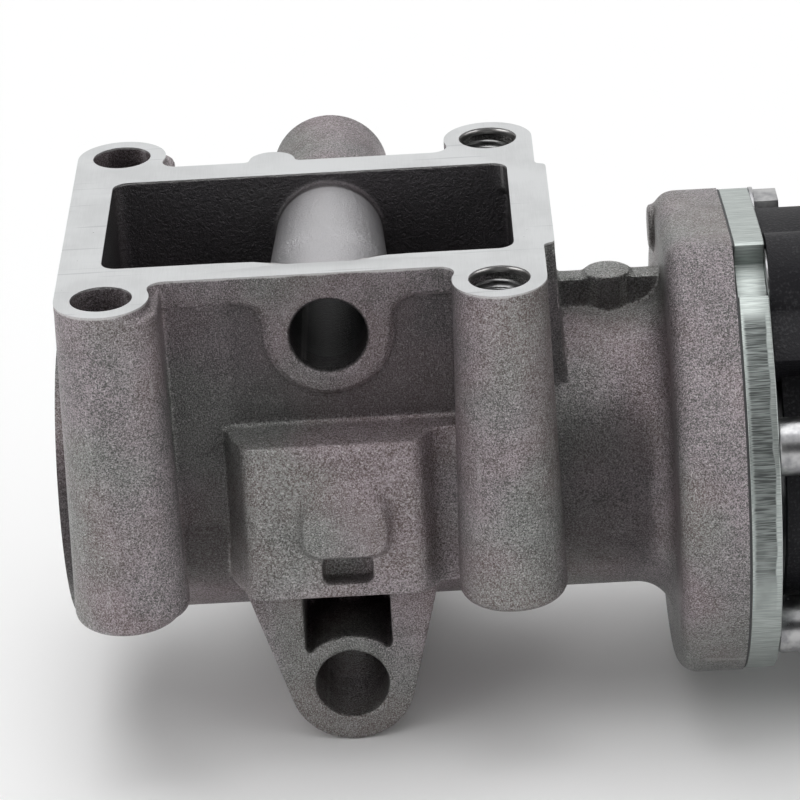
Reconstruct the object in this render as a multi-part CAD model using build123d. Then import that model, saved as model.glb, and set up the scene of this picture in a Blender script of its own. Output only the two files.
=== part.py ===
from build123d import *
import os
from math import cos, radians, sin

# Exhaust gas recirculation valve with a linear solenoid, in millimetres.
# Origin: midway between the two engine bolt holes, on the mounting faces at the back of the casting.
# +X runs along the valve axis towards the solenoid, +Y points out of the mounting faces towards the
# engine, and +Z points up to the machined outlet flange.

# ---- casting: axis, mounting bosses and ear
axis_y = -41.0                # valve axis, in front of the mounting faces
barrel_r = 20.5               # outside of the cast barrel round the valve axis
bolt_spacing = 55.6           # engine bolt holes, one above and one below the valve axis
bolt_hole_r = 5.2
boss_r = 8.5                  # outside of the tube round the upper bolt hole
tube_front_r = 9.3            # the same tube inside the gas passage, drafted from front to back
tube_back_r = 7.6
ear_end_r = 9.0               # rounded lower end of the ear
ear_front_y = -59.0
ear_top_z = -11.5
ear_top_left = -14.4
ear_top_right = 13.2
ear_pocket_left = -6.2
ear_pocket_right = 6.0
ear_pocket_wall = 2.5         # metal left between the pocket and the bolt hole
ear_pocket_skin = 1.9         # barrel metal kept behind the ear pockets
ear_web_half = 3.0            # middle web between the front and rear ear pockets
rear_rib_t = 7.0              # upright rib that ties the two bosses behind the barrel
rear_rib_inset = 1.0          # the rib stops short of the mounting faces

# ---- casting: outlet flange, its window and its four corner columns
flange_z = 37.0
flange_x = -3.2               # middle of the four bolt holes
flange_front = 21.2           # edge distances from the valve axis
flange_back = 21.3
flange_band = 1.4             # thickness of the machined lip
corner_spacing_x = 53.2
corner_spacing_y = 52.2
corner_hole_r = 4.2           # plain holes on the left
tapped_hole_r = 3.4           # tapped holes on the right
tapped_depth = 22.0
corner_r = 6.4                # lobe round each corner hole
corner_fillet = 2.2           # where a lobe meets the long edge
land_proud = 1.5              # right edge between the lobes stands out
land_half = 14.8
land_fillet = 0.7
land_foot_z = 13.5            # the drafted side wall below the land ends here
land_draft = 1.0
land_foot_round = 1.2
back_bump_x = -7.9            # round lug on the back edge
back_bump_r = 3.3
back_bump_proud = 0.5
column_bottom_z = -10.0
left_column_drop = 0.6        # the left columns reach lower
column_flare = 1.1            # extra radius of a column at its foot
column_foot_round = 1.6
slim_r = 4.6                  # slim second column that leans on each left column
slim_in = 2.9                 # its offset from the corner hole, towards the middle
slim_out = 1.2                # its offset from the corner hole, away from the valve axis
slim_rise = 1.2               # its foot ends above the corner column's
window_left = -30.5
window_right = 25.8
window_w = 31.8
window_corner_r = 2.2
window_shelf_z = 20.9         # floor of the window above the inlet bore

# ---- casting: front wall, block and its button
wall_half = 20.4              # front and back walls, from the valve axis
panel_step = 0.8              # boss surround stands this far proud of the wall
panel_top_z = 33.1            # flush band between the lip and the recessed panels
panel_corner_r = 3.6
side_panel_step = 0.4
side_panel_x = -13.9
block_left = -15.6
block_draft = 3.1             # slope of the left side, along X
block_face_right = 11.2
block_top_z = 14.7
block_top_slope = 6.0         # degrees, down to the front
block_bottom_z = -9.2
block_proud = 6.7             # how far the block stands out of the front wall
block_round = 2.2
valley_x = 13.7               # hollow between the block and the right column
valley_proud = 3.0
valley_round = 2.4
bridge_proud = 3.9
button_x = 0.7
button_foot_z = -2.9
button_base = (13.4, 12.2)    # width and height where it leaves the block
button_face = (11.0, 9.3)     # width and height of its flat face
button_face_rise = 0.5        # foot of the face above the foot of the base
button_arch_share = 0.42      # radius of the upper corners, as a share of the width
button_corner_r = 2.6
button_proud = 1.5
slot_w = 6.8
slot_h = 3.7
slot_drop = 0.4
slot_depth = 3.0

# ---- casting: inlet end, neck and solenoid flange
inlet_end_x = -38.8
inlet_r = 17.0
pipe_seat_r = 17.6            # shallow counterbore for the gas pipe
pipe_seat_depth = 6.0
seat_shoulder_x = -20.2
chamber_r = 15.9
chamber_top_z = 33.0
guide_wall_x = 37.5           # right face of the wall that carries the stem guide
guide_boss_r = 7.8
guide_boss_end_x = 43.0
neck_bore_r = 16.0
neck_rise = 2.0               # the neck is taller than round, towards the top
disc_x = 46.2                 # left face of the solenoid flange
disc_edge_r = 3.0
neck_fillet = 5.0
joint_face_x = 55.4           # machined face that takes the gasket
fixing_edge = 3.8             # metal outside the bolt circle
plate_bolt_angles = (67.5, 112.5, -90.0)      # from the front, turning up
standoff_angles = (21.0, 159.0, -39.0, -141.0)
front_lobe_r = 7.0            # bulges of the flange over its two top bolts
rear_lobe_r = 5.0
rear_boss_r = 3.2             # end of the rear bolt hole, seen from the left
rear_boss_proud = 0.8
rib_t = 3.4                   # fin on top of the neck
rib_top_z = 26.6
rib_y = -42.6
rib_pip_x = 38.8
rib_pip_r = 3.2
rib_pip_rise = 0.5

# ---- valve train
running_gap = 0.05            # radial clearance of every sliding fit
seat_gap = 0.075              # the poppet stands this far off its cone
lift = 5.5                    # full travel of the poppet
stem_r = 3.0
seat_t = 5.0
seat_bore_r = 11.5
seat_cone = 2.0               # 45 degree seat, measured along the axis
poppet_r = 13.2
poppet_rim = 1.6
poppet_tip_inset = 0.6        # the cone ends this far inside the seat bore
poppet_neck_r = 5.0
poppet_neck_x = 4.6           # distances from the seat to the waist and to the plain stem
poppet_stem_x = 9.0
guide_r = 5.5                 # outside of the pressed stem guide
guide_start_x = 22.6
guide_end_x = 44.2
shield_r = 9.5
shield_t = 0.8
shield_len = 4.0
retainer_r = 13.4
retainer_x = 51.8
retainer_t = 1.4
retainer_lip = 1.6
retainer_hub_r = 4.6
retainer_hub_len = 5.0
spring_wire_r = 0.9
spring_side_gap = 0.5         # between the spring and the lip of its retainer
spring_turns = 5.0
spring_seat_gap = 0.15
plunger_r = 1.9
plunger_tip_gap = 0.1
plunger_head_r = 3.0
plunger_head_t = 1.2
plunger_len = 13.0
sensor_wire_r = 0.25
sensor_turns = 7.0
sensor_spring_gap = 0.1

# ---- joint with the solenoid
gasket_t = 0.3
plate_t = 4.2
plate_inset = 0.2             # the plate is this much smaller than the flange
plate_bore_r = 9.3
notch_from = 57.0             # sheared step in the rim, degrees from the front
notch_to = 69.0
notch_r = 33.0
m5_r = 2.5
m5_clearance_r = 2.75
bolt_head_r = 4.6
bolt_head_h = 4.0
washer_t = 0.6
washer_rim = 0.3
bolt_len = 12.0
bolt_end_gap = 0.3
sleeve_r = 4.0
sleeve_len = 12.0
screw_end_gap = 0.2
screw_socket_r = 2.3
screw_socket_depth = 2.2
screw_edge_r = 1.2
dowel_r = 2.0
dowel_angle = 180.0
dowel_depth = 4.0             # in the casting
dowel_grip = 3.0              # in the plate

# ---- solenoid, from the winding outwards and along the axis
winding_r = 18.2
bobbin_rim = 1.6
bobbin_t = 1.2
bobbin_gap = 0.6
yoke_t = 2.4
yoke_len = 32.0
tube_wall = 0.55
armature_r = 8.9
armature_len = 18.0
stop_gap = 0.5                # left between armature and pole when the valve is wide open
stem_grip = 9.0
vent_r = 1.1
vent_circle_r = 6.0
pole_gap = 0.01
pole_flange_r = 15.0
pole_flange_t = 2.1
pole_reach = 15.0             # from the yoke's floor to the pole's rim
pole_rim_t = 1.2
pole_cup_draft = 1.4
pole_cup_depth = 3.0
pole_bore_gap = 0.6
tube_overrun = 2.2            # past the end of the armature

# ---- plastic housing, cover and connector
shell_gap = 0.1
housing_wall = 2.5
housing_start = 1.5           # past the plate's face
housing_end_wall = 4.0
housing_rib_count = 12
housing_rib_w = 1.4
housing_rib_proud = 1.0
rib_clear = 1.0
lug_r = 5.6
lug_t = 6.0
saddle_r = 32.4               # top sector that hangs over the steel plate
saddle_from = 42.0
saddle_to = 101.0
saddle_gap = 0.2              # to the plate's face
saddle_lobe_r = 7.0           # closed bulge over the front top bolt
bolt_pocket_gap = 1.0
cover_roof = 2.0
cover_edge_r = 4.0
cover_ear_r = 2.8
cover_ear_inset = 3.0         # its screw, inside the housing's edge
cover_ear_t = 3.0
cover_ear_angles = (30.0, 150.0, 270.0)
cover_screw_r = 1.1
cover_screw_len = 3.2
cover_head_r = 2.2
cover_head_h = 1.4
cover_head_gap = 0.3          # between a screw head and the side of the cover
oring_r = 0.9
oring_circle_inset = 3.0
groove_depth = 1.5
groove_lid = 0.5              # part of the groove that lies in the cover
groove_w = 2.2
sensor_r = 12.0
sensor_t = 16.5
sensor_floor_t = 1.0
sensor_gap = 0.2
socket_x = 76.0
socket_w = 13.0               # along the valve axis
socket_l = 25.0               # across it
socket_top_z = 45.0
socket_floor_z = 31.0
socket_wall = 1.6
socket_corner_r = 3.0
socket_collar = 1.0
socket_collar_drop = 4.0
socket_collar_t = 2.0
latch_w = 7.0
latch_h = 3.6
latch_proud = 1.8
pin_count = 5
pin_pitch = 3.6
pin_t = 0.7
pin_w = 2.4
pin_tip = 0.2
pin_rise = 8.5

# ---- sizes that follow from the ones above
bolt_z = bolt_spacing / 2
front_wall_y = axis_y - wall_half
boss_face_y = front_wall_y - panel_step
column_left_x = flange_x - corner_spacing_x / 2
column_right_x = flange_x + corner_spacing_x / 2
body_left = column_left_x - corner_r
body_right = column_right_x + corner_r
lip_z = flange_z - flange_band
corner_points = [(x, axis_y + side * corner_spacing_y / 2, side)
                 for x in (column_left_x, column_right_x) for side in (-1, 1)]

seat_left_x = seat_shoulder_x - seat_t
bobbin_r = winding_r + bobbin_rim
yoke_r = bobbin_r + bobbin_gap + yoke_t
housing_r = yoke_r + shell_gap + housing_wall
fixing_r = housing_r + bolt_head_r            # bolt circle of plate bolts and stand-offs
disc_r = fixing_r + fixing_edge
cover_r = housing_r - cover_ear_inset - cover_head_r - cover_head_gap

plate_left_x = joint_face_x + gasket_t
plate_face_x = plate_left_x + plate_t
lug_x = plate_face_x + sleeve_len
lug_end_x = lug_x + lug_t
yoke_x = plate_face_x + pole_flange_t
yoke_end_x = yoke_x + yoke_len
pole_end_x = yoke_x + pole_reach
armature_x = pole_end_x + lift + stop_gap
armature_end_x = armature_x + armature_len
stem_end_x = armature_x + stem_grip
tube_bore_r = armature_r + running_gap
tube_r = tube_bore_r + tube_wall
tube_end_x = armature_end_x + tube_overrun
pole_r = tube_bore_r - pole_gap
housing_x = plate_face_x + housing_start
housing_end_x = yoke_end_x + housing_end_wall
sensor_x = tube_end_x + sensor_gap
sensor_end_x = sensor_x + sensor_t
cover_end_x = sensor_end_x + shell_gap + cover_roof


# ---------------------------------------------------------------- shared shapes
def bar_x(radius, x_start, x_end, y=axis_y, z=0.0):
    """Round bar along X."""
    bar = Cylinder(radius, x_end - x_start, align=(Align.CENTER, Align.CENTER, Align.MIN))
    return Pos(x_start, y, z) * Rot(0, 90, 0) * bar


def bar_y(radius, y_start, y_end, x, z):
    """Round bar along Y."""
    bar = Cylinder(radius, y_end - y_start, align=(Align.CENTER, Align.CENTER, Align.MIN))
    return Pos(x, y_start, z) * Rot(-90, 0, 0) * bar


def bar_z(radius, z_start, z_end, x, y):
    """Round bar along Z."""
    bar = Cylinder(radius, z_end - z_start, align=(Align.CENTER, Align.CENTER, Align.MIN))
    return Pos(x, y, z_start) * bar


def box_between(x_ends, y_ends, z_ends):
    """Square block between three pairs of limits."""
    size = [high - low for low, high in (x_ends, y_ends, z_ends)]
    centre = [(high + low) / 2 for low, high in (x_ends, y_ends, z_ends)]
    return Pos(*centre) * Box(*size)


def ring_x(outer_r, inner_r, x_start, x_end, y=axis_y, z=0.0):
    """Round ring along X."""
    return bar_x(outer_r, x_start, x_end, y, z) - bar_x(inner_r, x_start, x_end, y, z)


def turned(points):
    """Solid of revolution about the valve axis, from (x, radius) points."""
    outline = Polyline(*[(x, axis_y + r) for x, r in points], close=True)
    axis = Axis((0, axis_y, 0), (1, 0, 0))
    return revolve(make_face(outline), axis, 360)


def on_circle(angle, radius=fixing_r):
    """Y and Z of a point round the valve axis; 0 degrees is the front, 90 the top."""
    return axis_y - radius * cos(radians(angle)), radius * sin(radians(angle))


def disc_at(radius, y, z=0.0):
    """Flat disc for a sketch that is seen along the valve axis."""
    return Pos(y, z) * Circle(radius)


def section_x(outline, x_start, x_end):
    """Bar along X with the given outline across it."""
    return extrude(Plane.YZ.offset(x_start) * outline, x_end - x_start)


def wrapped(*discs):
    """Outline that a string would take round the given discs."""
    return make_hull([edge for disc in discs for edge in disc.edges()])


def barrel_section(half, top_z, x_start, x_end):
    """Bar along X: half round below the valve axis and straight sided above it."""
    outline = disc_at(half, axis_y) + Pos(axis_y, top_z / 2) * Rectangle(2 * half, top_z)
    return section_x(outline, x_start, x_end)


def front_plane(y):
    """Drawing plane at y that faces the viewer in front: X to the right and Z up."""
    return Plane.XZ.offset(-y)


def helix_spring(coil_r, wire_r, turns, x_start, x_end):
    """Compression spring round the valve axis, with its end coils clear of both seats."""
    rise = x_end - x_start - 2 * wire_r
    path = Helix(pitch=rise / turns, height=rise, radius=coil_r)
    section = Plane(origin=path @ 0, z_dir=path % 0) * Circle(wire_r)
    coil = sweep(section, path=path, is_frenet=True)
    return Pos(x_start + wire_r, axis_y, 0) * Rot(0, 90, 0) * coil


# ---------------------------------------------------------------- casting
def outlet_flange():
    """Thin machined lip: a round lobe at each corner, a land on the right and a lug at the back."""
    front, back = axis_y - flange_front, axis_y + flange_back
    middle = Pos(flange_x, (front + back) / 2) * Rectangle(
        corner_spacing_x + 2 * corner_r, flange_front + flange_back)
    sides = [Pos(x + side * corner_r / 2, axis_y) * Rectangle(corner_r, corner_spacing_y)
             for x, side in ((column_left_x, -1), (column_right_x, 1))]
    outline = middle + sides + [Pos(x, y) * Circle(corner_r) for x, y, _ in corner_points]
    inner = [v for v in outline.vertices() if min(abs(v.Y - front), abs(v.Y - back)) < 0.01]
    outline = fillet(inner, corner_fillet)
    land = Pos(body_right, axis_y) * Rectangle(2 * land_proud, 2 * land_half)
    outline += land
    steps = [v for v in outline.vertices()
             if v.X > body_right - 0.01 and abs(abs(v.Y - axis_y) - land_half) < 0.01]
    outline = fillet(steps, land_fillet)
    outline += Pos(back_bump_x, back + back_bump_proud) * Circle(back_bump_r)
    return extrude(Plane.XY.offset(lip_z) * outline, flange_band)


def side_land():
    """Drafted side wall that carries the land on the right of the flange."""
    top_x = body_right + land_proud
    section = Polyline((body_right - 1, land_foot_z), (top_x + land_draft, land_foot_z),
                       (top_x, lip_z), (body_right - 1, lip_z), close=True)
    wall = extrude(front_plane(axis_y + land_half) * make_face(section), 2 * land_half)
    foot = wall.edges().filter_by(Axis.Y).group_by(Axis.X)[-1]
    return fillet(foot, land_foot_round)


def column(x, y, side):
    """Corner column that widens to its rounded foot; a slim one leans on each left column."""
    on_left = x < flange_x
    bottom = column_bottom_z - (left_column_drop if on_left else 0)

    def post(radius, post_x, post_y, post_bottom):
        cone = Pos(post_x, post_y, post_bottom) * Cone(
            radius + column_flare, radius, lip_z - post_bottom,
            align=(Align.CENTER, Align.CENTER, Align.MIN))
        return fillet(cone.edges().group_by(Axis.Z)[0], column_foot_round)

    body = post(corner_r, x, y, bottom)
    web_x = (x - corner_r, x) if on_left else (x, x + corner_r)
    if on_left:
        body += post(slim_r, x + slim_in, y + side * slim_out, bottom + slim_rise)
        web_x = (x - corner_r, x + slim_in + slim_r)
    inward = (y, axis_y) if side < 0 else (axis_y, y)
    return body + box_between(web_x, inward, (bottom + 2 * column_foot_round, lip_z))


def boss_surround():
    """Band below the lip that runs down round the upper bolt hole, between recessed panels."""
    band = Pos(flange_x, (panel_top_z + lip_z) / 2) * Rectangle(corner_spacing_x, lip_z - panel_top_z)
    tongue = disc_at(boss_r, 0, bolt_z) + Pos(0, (bolt_z + lip_z) / 2) * Rectangle(
        2 * boss_r, lip_z - bolt_z)
    outline = band + tongue
    corners = [v for v in outline.vertices() if abs(v.Y - panel_top_z) < 0.01 and abs(v.X) < boss_r + 1]
    outline = fillet(corners, panel_corner_r)
    return extrude(front_plane(axis_y) * outline, axis_y - boss_face_y)


def button_outline(size, foot_z):
    """Outline of the button: two small corners below and a wide arch above."""
    width, height = size
    outline = Pos(button_x, foot_z + height / 2) * Rectangle(width, height)
    outline = fillet(outline.vertices().group_by(Axis.Y)[-1], width * button_arch_share)
    return fillet(outline.vertices().group_by(Axis.Y)[0], button_corner_r)


def front_block():
    """Drafted block that blends into the right column, with a raised button and a slot below it."""
    face_y = front_wall_y - block_proud
    corners = [(block_left + block_draft, face_y), (block_face_right, face_y),
               (valley_x, front_wall_y - valley_proud)]
    outline = make_face(Polyline(
        (block_left, axis_y), (block_left, front_wall_y), *corners,
        (column_right_x, front_wall_y - bridge_proud), (column_right_x, axis_y), close=True))
    for (x, y), radius in zip(corners, (block_round, block_round, valley_round)):
        outline = fillet([v for v in outline.vertices() if abs(v.X - x) + abs(v.Y - y) < 0.01], radius)
    height = block_top_z - block_bottom_z
    body = extrude(Plane.XY.offset(block_bottom_z) * outline, height)
    body -= Pos(0, front_wall_y, block_top_z) * Rot(block_top_slope, 0, 0) * box_between(
        (block_left - 1, column_right_x + 1), (-height, height), (0, height))
    button = loft([front_plane(face_y) * button_outline(button_base, button_foot_z),
                   front_plane(face_y - button_proud) * button_outline(
                       button_face, button_foot_z + button_face_rise)])
    body += button
    slot_top = button_foot_z - slot_drop
    return body - box_between((button_x - slot_w / 2, button_x + slot_w / 2),
                              (face_y - button_proud, face_y + slot_depth),
                              (slot_top - slot_h, slot_top))


def ear():
    """Lower mounting ear: full depth from its front face to the mounting face."""
    round_end = disc_at(ear_end_r, 0, -bolt_z)
    top_edge = Line((ear_top_left, ear_top_z), (ear_top_right, ear_top_z))
    outline = make_hull(round_end.edges() + top_edge.edges())
    body = extrude(front_plane(0) * outline, -ear_front_y)
    keep = bar_y(bolt_hole_r + ear_pocket_wall, ear_front_y, 0, 0, -bolt_z)
    keep += bar_x(barrel_r - ear_pocket_skin, ear_top_left, ear_top_right)
    pocket_x = (ear_pocket_left, ear_pocket_right)
    pocket_z = (-bolt_z + bolt_hole_r, ear_top_z + 1)
    for pocket_y in ((ear_front_y, axis_y - ear_web_half), (axis_y + ear_web_half, 0)):
        body -= box_between(pocket_x, pocket_y, pocket_z) - keep
    return body


def bolt_flange_outline(inset):
    """Round outline that bulges out over the two top bolts."""
    front_y, front_z = on_circle(plate_bolt_angles[0])
    rear_y, rear_z = on_circle(plate_bolt_angles[1])
    return wrapped(disc_at(disc_r - inset, axis_y), disc_at(front_lobe_r - inset, front_y, front_z),
                   disc_at(rear_lobe_r - inset, rear_y, rear_z))


def neck_and_disc():
    """Neck that flares into the round solenoid flange."""
    disc = section_x(bolt_flange_outline(0), disc_x, joint_face_x)
    disc = fillet(disc.edges().group_by(Axis.X)[0], disc_edge_r)
    neck = section_x(wrapped(disc_at(barrel_r, axis_y), disc_at(barrel_r, axis_y, neck_rise)),
                     body_right, joint_face_x)
    body = disc + neck
    reach = barrel_r + neck_rise + 1
    junction = [e for e in body.edges() if abs(e.center().X - disc_x) < 0.01
                and abs(e.center().Y - axis_y) < reach and abs(e.center().Z) < reach]
    body = fillet(junction, neck_fillet)
    y, z = on_circle(plate_bolt_angles[1])
    return body + bar_x(rear_boss_r, disc_x - rear_boss_proud, joint_face_x, y, z)


def neck_rib():
    """Fin on top of the neck, with the round ejector pip in its middle."""
    fin = box_between((body_right - 1, disc_x + 1), (rib_y - rib_t / 2, rib_y + rib_t / 2),
                      (0, rib_top_z))
    return fin + bar_z(rib_pip_r, 0, rib_top_z + rib_pip_rise, rib_pip_x, rib_y)


def rear_rib():
    """Upright rib between the upper boss and the ear, behind the barrel."""
    return box_between((-rear_rib_t / 2, rear_rib_t / 2), (axis_y, -rear_rib_inset), (-bolt_z, bolt_z))


def gas_passages():
    """Window, chamber and inlet bore, cut out of the casting in one go."""
    window = box_between((window_left, window_right),
                         (axis_y - window_w / 2, axis_y + window_w / 2), (window_shelf_z, flange_z + 1))
    window = fillet(window.edges().filter_by(Axis.Z), window_corner_r)
    chamber = barrel_section(chamber_r, chamber_top_z, seat_shoulder_x - 0.1, window_right)
    inlet = bar_x(inlet_r, inlet_end_x - 1, seat_shoulder_x)
    pipe_seat = bar_x(pipe_seat_r, inlet_end_x - 1, inlet_end_x + pipe_seat_depth)
    return window + chamber + inlet + pipe_seat


def upper_tube():
    """Tube of the upper bolt hole: drafted inside the gas passage and round behind it."""
    inner_front = axis_y - window_w / 2
    inside = Pos(0, inner_front, bolt_z) * Rot(-90, 0, 0) * Cone(
        tube_front_r, tube_back_r, window_w, align=(Align.CENTER, Align.CENTER, Align.MIN))
    return inside + bar_y(boss_r, boss_face_y, inner_front, 0, bolt_z) + bar_y(
        boss_r, inner_front + window_w, 0, 0, bolt_z)


def valve_body():
    """Aluminium casting of the valve."""
    body = barrel_section(wall_half, lip_z, body_left, body_right)
    body += bar_x(barrel_r, inlet_end_x, body_right)
    body += outlet_flange()
    body += side_land()
    for corner in corner_points:
        body += column(*corner)
    body += front_block()
    body += boss_surround()
    body += box_between((column_left_x, side_panel_x),
                        (front_wall_y - side_panel_step, axis_y), (0, lip_z))
    body += ear()
    body += rear_rib()
    body += neck_and_disc()
    body += neck_rib()
    body -= gas_passages()
    body += upper_tube()
    for z in (bolt_z, -bolt_z):
        body -= bar_y(bolt_hole_r, boss_face_y - block_proud, 1, 0, z)
    body -= bar_x(neck_bore_r, guide_wall_x, joint_face_x + 1) - bar_x(
        guide_boss_r, guide_wall_x, guide_boss_end_x)
    body -= bar_x(guide_r, window_right - 1, guide_boss_end_x + 1)
    for x, y, _ in corner_points:
        if x < flange_x:
            body -= bar_z(corner_hole_r, column_bottom_z - 2, flange_z + 1, x, y)
        else:
            body -= bar_z(tapped_hole_r, flange_z - tapped_depth, flange_z + 1, x, y)
    body -= fixing_holes(m5_r, plate_bolt_angles, plate_face_x - bolt_len - bolt_end_gap, plate_left_x)
    return body - bar_x(dowel_r, joint_face_x - dowel_depth, plate_left_x, *on_circle(dowel_angle))


# ---------------------------------------------------------------- valve train
def seat_ring():
    """Hard seat pressed into the inlet bore against its shoulder."""
    return turned([(seat_left_x, inlet_r), (seat_shoulder_x, inlet_r), (seat_shoulder_x, seat_bore_r),
                   (seat_left_x + seat_cone, seat_bore_r), (seat_left_x, seat_bore_r + seat_cone)])


def poppet():
    """Poppet head, neck and stem in one piece; it opens towards the inlet."""
    mouth_x = seat_left_x - seat_gap          # where the valve's cone has the seat's widest radius
    rim_x = mouth_x + seat_bore_r + seat_cone - poppet_r
    tip_r = seat_bore_r - poppet_tip_inset
    return turned([(rim_x - poppet_rim, 0), (rim_x - poppet_rim, poppet_r), (rim_x, poppet_r),
                   (rim_x + poppet_r - tip_r, tip_r), (mouth_x + poppet_neck_x, poppet_neck_r),
                   (mouth_x + poppet_stem_x, stem_r), (stem_end_x, stem_r), (stem_end_x, 0)])


def stem_guide():
    """Bronze guide pressed into the casting."""
    return ring_x(guide_r, stem_r + running_gap, guide_start_x, guide_end_x)


def stem_shield():
    """Pressed steel shield that keeps soot off the guide."""
    cup = ring_x(shield_r, guide_r, window_right - shield_t, window_right)
    return cup + ring_x(shield_r, shield_r - shield_t, window_right - shield_len, window_right)


def spring_retainer():
    """Stamped dish with a hub, crimped on the stem."""
    back = retainer_x + retainer_t
    dish = ring_x(retainer_r, stem_r, retainer_x, back)
    lip = ring_x(retainer_r, retainer_r - retainer_t, retainer_x - retainer_lip, back)
    return dish + lip + ring_x(retainer_hub_r, stem_r, retainer_x, retainer_x + retainer_hub_len)


def return_spring():
    """Spring that pulls the poppet on to its seat."""
    coil_r = retainer_r - retainer_t - spring_side_gap - spring_wire_r
    return helix_spring(coil_r, spring_wire_r, spring_turns,
                        guide_wall_x + spring_seat_gap, retainer_x - spring_seat_gap)


def armature():
    """Soft iron armature, fixed on the end of the stem."""
    core = bar_x(armature_r, armature_x, armature_end_x) - bar_x(stem_r, armature_x, stem_end_x)
    return core - [bar_x(vent_r, armature_x, armature_end_x, *on_circle(a, vent_circle_r))
                   for a in (0, 90, 180, 270)]


def sensor_plunger():
    """Follower of the position sensor; its tip rests on the armature."""
    start = armature_end_x + plunger_tip_gap
    return bar_x(plunger_head_r, start, start + plunger_head_t) + bar_x(
        plunger_r, start, start + plunger_len)


def sensor_spring():
    """Light spring that holds the follower against the armature."""
    coil_r = plunger_r - sensor_wire_r - 3 * sensor_spring_gap
    start = armature_end_x + plunger_tip_gap + plunger_len
    return helix_spring(coil_r, sensor_wire_r, sensor_turns, start + sensor_spring_gap,
                        sensor_end_x - sensor_floor_t - sensor_spring_gap)


# ---------------------------------------------------------------- plate and its fixings
def plate_outline():
    """Outline of plate and gasket: the flange's, with a sheared step below the front lobe."""
    outline = bolt_flange_outline(plate_inset)
    reach = 2 * disc_r
    inner = [on_circle(a, notch_r) for a in (notch_from, notch_to)]
    outer = [on_circle(a, reach) for a in (notch_to, notch_from)]
    return outline - make_face(Polyline(*inner, *outer, close=True))


def fixing_holes(radius, angles, x_start, x_end):
    """Through holes at the given angles on the fixing circle."""
    return [bar_x(radius, x_start, x_end, *on_circle(a)) for a in angles]


def flange_gasket():
    """Thin gasket between the casting and the plate."""
    sheet = section_x(plate_outline() - disc_at(neck_bore_r, axis_y), joint_face_x, plate_left_x)
    sheet -= fixing_holes(m5_clearance_r, plate_bolt_angles, joint_face_x, plate_left_x)
    return sheet - bar_x(dowel_r, joint_face_x, plate_left_x, *on_circle(dowel_angle))


def base_plate():
    """Sheared steel plate that carries the solenoid."""
    plate = section_x(plate_outline(), plate_left_x, plate_face_x)
    plate -= bar_x(plate_bore_r, plate_left_x, plate_face_x)
    plate -= fixing_holes(m5_clearance_r, plate_bolt_angles, plate_left_x, plate_face_x)
    plate -= fixing_holes(m5_r, standoff_angles, plate_left_x, plate_face_x)
    return plate - bar_x(dowel_r, plate_left_x, plate_left_x + dowel_grip, *on_circle(dowel_angle))


def plate_bolts():
    """Hexagon bolts that hold the plate to the casting."""
    bolts = []
    head_x = plate_face_x + washer_t
    for angle in plate_bolt_angles:
        y, z = on_circle(angle)
        head = section_x(Pos(y, z) * RegularPolygon(bolt_head_r, 6), head_x, plate_face_x + bolt_head_h)
        washer = bar_x(bolt_head_r + washer_rim, plate_face_x, head_x, y, z)
        bolts.append(head + washer + bar_x(m5_r, plate_face_x - bolt_len, plate_face_x, y, z))
    return Compound(children=bolts)


def standoff_sleeves():
    """Spacers that hold the solenoid off the hot plate."""
    return Compound(children=[ring_x(sleeve_r, m5_clearance_r, plate_face_x, lug_x, *on_circle(a))
                              for a in standoff_angles])


def solenoid_screws():
    """Pan head screws through the housing lugs and sleeves into the plate."""
    screws = []
    head_end_x = lug_end_x + bolt_head_h
    for angle in standoff_angles:
        y, z = on_circle(angle)
        head = bar_x(bolt_head_r, lug_end_x, head_end_x, y, z)
        head = fillet(head.edges().group_by(Axis.X)[-1], screw_edge_r)
        head -= section_x(Pos(y, z) * RegularPolygon(screw_socket_r, 6),
                          head_end_x - screw_socket_depth, head_end_x)
        screws.append(head + bar_x(m5_r, plate_left_x + screw_end_gap, lug_end_x, y, z))
    return Compound(children=screws)


def locating_dowel():
    """Dowel that lines the plate up with the casting."""
    return bar_x(dowel_r, joint_face_x - dowel_depth, plate_left_x + dowel_grip,
                 *on_circle(dowel_angle))


# ---------------------------------------------------------------- solenoid
def pole_piece():
    """Fixed core with a coned cup that faces the armature."""
    bore_r = stem_r + pole_bore_gap
    rim_r = pole_r - pole_rim_t
    cup_x = pole_end_x - pole_cup_depth
    return turned([(plate_face_x, bore_r), (plate_face_x, pole_flange_r), (yoke_x, pole_flange_r),
                   (yoke_x, pole_r), (pole_end_x, pole_r), (pole_end_x, rim_r),
                   (cup_x, rim_r - pole_cup_draft), (cup_x, bore_r)])


def yoke():
    """Drawn steel cup that closes the magnetic circuit."""
    shell = ring_x(yoke_r, yoke_r - yoke_t, yoke_x, yoke_end_x)
    return shell + ring_x(yoke_r, tube_r, yoke_x, yoke_x + yoke_t)


def yoke_lid():
    """Steel disc pressed into the open end of the yoke."""
    return ring_x(yoke_r - yoke_t, tube_r, yoke_end_x - yoke_t, yoke_end_x)


def armature_tube():
    """Non-magnetic tube that guides the armature."""
    return ring_x(tube_r, tube_bore_r, yoke_x, tube_end_x)


def coil_bobbin():
    """Moulded bobbin of the coil."""
    start, end = yoke_x + yoke_t, yoke_end_x - yoke_t
    spool = ring_x(tube_r + bobbin_t, tube_r, start, end)
    return spool + ring_x(bobbin_r, tube_r, start, start + bobbin_t) + ring_x(
        bobbin_r, tube_r, end - bobbin_t, end)


def coil_winding():
    """Copper winding, as one solid ring."""
    return ring_x(winding_r, tube_r + bobbin_t, yoke_x + yoke_t + bobbin_t,
                  yoke_end_x - yoke_t - bobbin_t)


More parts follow.
